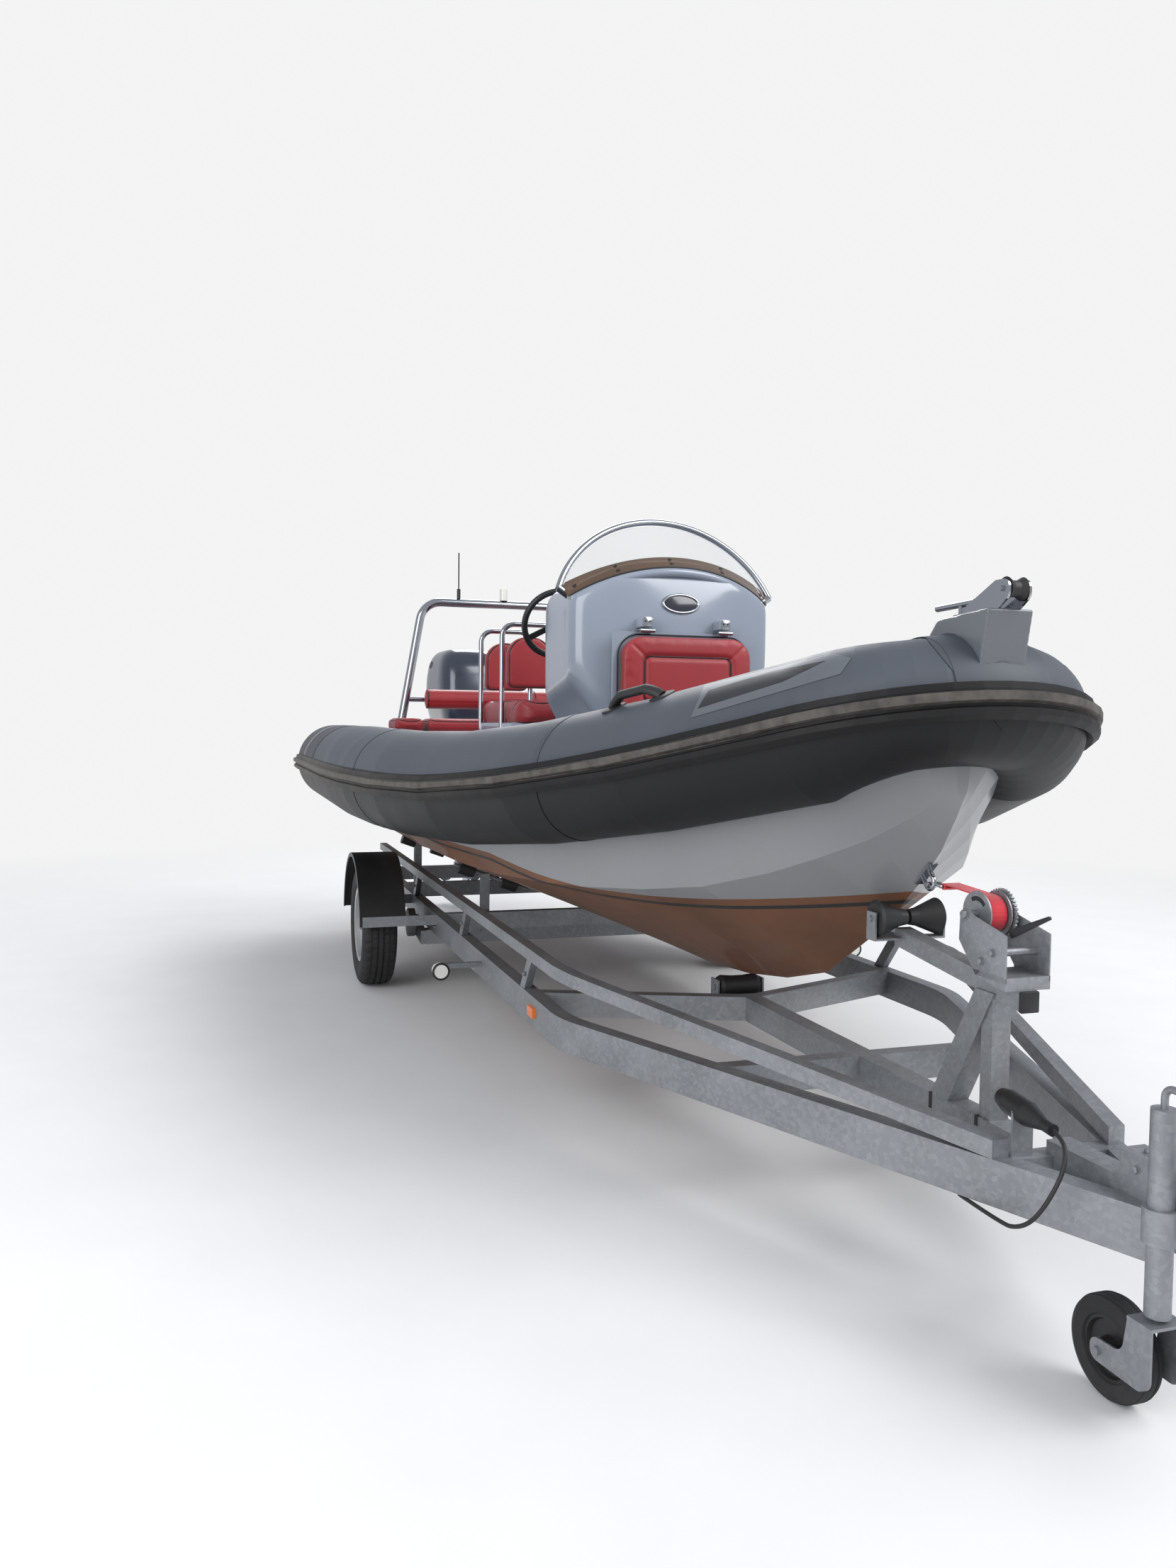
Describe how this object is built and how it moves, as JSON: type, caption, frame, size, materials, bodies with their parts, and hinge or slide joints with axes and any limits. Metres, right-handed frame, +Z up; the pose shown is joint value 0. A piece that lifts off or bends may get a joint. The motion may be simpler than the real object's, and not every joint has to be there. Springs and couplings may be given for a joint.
{
  "type": "inflatable boat on trailer",
  "caption": "Rigid inflatable boat with console, saddle seats, stern bench and outboard engine, strapped down on its single-axle road trailer.",
  "frame": {"origin": "centre of the bounding box on the ground", "axes": "+X forward to the bow and the coupling, +Y to port, +Z up"},
  "size_m": [7.19, 2.467, 2.34],
  "materials": {
    "galvanised": "dull zinc",
    "black_plastic": "matte",
    "black_rubber": "matte",
    "lamp_lens": "gloss",
    "arch_trim": "satin",
    "tyre": "matte",
    "wheel_paint": "satin",
    "collar_fabric": "matte",
    "gelcoat": "gloss",
    "deck_gelcoat": "satin",
    "upholstery": "satin",
    "stainless": "polished",
    "screen": "clear",
    "strap": "woven",
    "engine_paint": "gloss",
    "engine_metal": "dull"
  },
  "bodies": {
    "boat_and_trailer": {"main_rails": "galvanised", "upper_rails": "galvanised", "cross_members": "galvanised", "axle": "galvanised", "winch_post": "galvanised", "winch_frame": "galvanised", "winch_drum": "galvanised", "roller_arms": "galvanised", "side_brackets": "galvanised", "coupling": "galvanised", "jockey_clamp": "galvanised", "mudguards": "black_plastic", "trailer_plug": "black_plastic", "steering_column": "black_plastic", "hull_rollers": "black_rubber", "bow_roller": "black_rubber", "rub_strake": "black_rubber", "collar_cones": "black_rubber", "plug_cable": "black_rubber", "marker_lamps": "lamp_lens", "arch_fittings": "arch_trim", "collar": "collar_fabric", "hull": "gelcoat", "console": "gelcoat", "seat_bases": "gelcoat", "bow_plinth": "gelcoat", "transom": "gelcoat", "deck": "deck_gelcoat", "forward_cushion": "upholstery", "saddles": "upholstery", "backrests": "upholstery", "bench_cushion": "upholstery", "bolster": "upholstery", "console_rails": "stainless", "seat_hoops": "stainless", "arch": "stainless", "bow_fittings": "stainless", "strap_hook": "stainless", "wind_screen": "screen", "winch_strap": "strap", "clamp_bracket": "engine_paint"},
    "road_wheel_starboard": {"rim_starboard": "wheel_paint", "tyre_starboard": "tyre"},
    "road_wheel_port": {"rim_port": "wheel_paint", "tyre_port": "tyre"},
    "jockey_stem": {"jockey_stem": "galvanised"},
    "jockey_fork": {"jockey_fork": "galvanised"},
    "jockey_wheel": {"jockey_hub": "black_plastic", "jockey_tyre": "tyre"},
    "hatch": {"hatch_panel": "gelcoat", "hatch_cushion": "upholstery"},
    "helm": {"steering_wheel": "black_plastic"},
    "swivel": {"swivel_bracket": "engine_paint"},
    "engine": {"engine_leg": "engine_paint", "cowl": "engine_paint", "engine_block": "engine_metal"},
    "propeller": {"propeller": "engine_paint"}
  },
  "joints": [
    {"name": "wheel_spin_starboard", "type": "hinge", "parent": "boat_and_trailer", "child": "road_wheel_starboard", "pos_m": [-0.805, -0.965, 0.298], "axis": [0, 1, 0], "continuous": true},
    {"name": "wheel_spin_port", "type": "hinge", "parent": "boat_and_trailer", "child": "road_wheel_port", "pos_m": [-0.805, 0.965, 0.298], "axis": [0, 1, 0], "continuous": true},
    {"name": "jockey_lift", "type": "slide", "parent": "boat_and_trailer", "child": "jockey_stem", "axis": [0, 0, 1], "range_m": [0, 0.08]},
    {"name": "jockey_swivel", "type": "hinge", "parent": "jockey_stem", "child": "jockey_fork", "pos_m": [3.33, -0.066, 0.2], "axis": [0, 0, 1], "continuous": true},
    {"name": "jockey_spin", "type": "hinge", "parent": "jockey_fork", "child": "jockey_wheel", "pos_m": [3.23, -0.066, 0.1], "axis": [0, 1, 0], "continuous": true},
    {"name": "hatch_hinge", "type": "hinge", "parent": "boat_and_trailer", "child": "hatch", "pos_m": [0.863, 0, 1.652], "axis": [0, -1, 0], "range_deg": [0, 85]},
    {"name": "helm_turn", "type": "hinge", "parent": "boat_and_trailer", "child": "helm", "pos_m": [-0.06, -0.245, 1.748], "axis": [0.9135, 0, -0.4067], "range_deg": [-540, 540]},
    {"name": "engine_tilt", "type": "hinge", "parent": "boat_and_trailer", "child": "swivel", "pos_m": [-2.835, 0, 0.985], "axis": [0, 1, 0], "range_deg": [0, 60]},
    {"name": "engine_steer", "type": "hinge", "parent": "swivel", "child": "engine", "pos_m": [-2.935, 0, 0.9], "axis": [0, 0, 1], "range_deg": [-30, 30]},
    {"name": "propeller_spin", "type": "hinge", "parent": "engine", "child": "propeller", "pos_m": [-3.365, 0, 0.268], "axis": [1, 0, 0], "continuous": true}
  ],
  "couplings": [
    {"joint": "helm_turn", "follows": "engine_steer", "ratio": 18}
  ]
}
